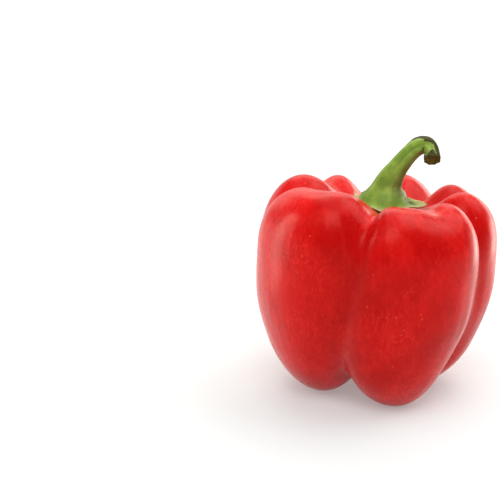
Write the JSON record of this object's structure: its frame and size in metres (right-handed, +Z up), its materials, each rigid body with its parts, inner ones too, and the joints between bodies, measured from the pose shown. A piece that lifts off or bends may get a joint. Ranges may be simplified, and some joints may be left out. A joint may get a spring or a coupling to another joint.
{
  "type": "bell pepper",
  "caption": "Whole blocky red bell pepper standing on its lobes, with a green calyx and a short hooked green stem.",
  "frame": {"origin": "on the resting surface, under the middle of the fruit's outline", "axes": "+Z up through the stem, front of the fruit towards -Y, stem leans towards +X"},
  "size_m": [0.0878, 0.0886, 0.0948],
  "materials": {
    "fruit_skin": null,
    "calyx_green": null,
    "stem_green": null
  },
  "bodies": {
    "root": {"fruit": "fruit_skin", "calyx": "calyx_green", "stem": "stem_green"}
  },
  "joints": []
}
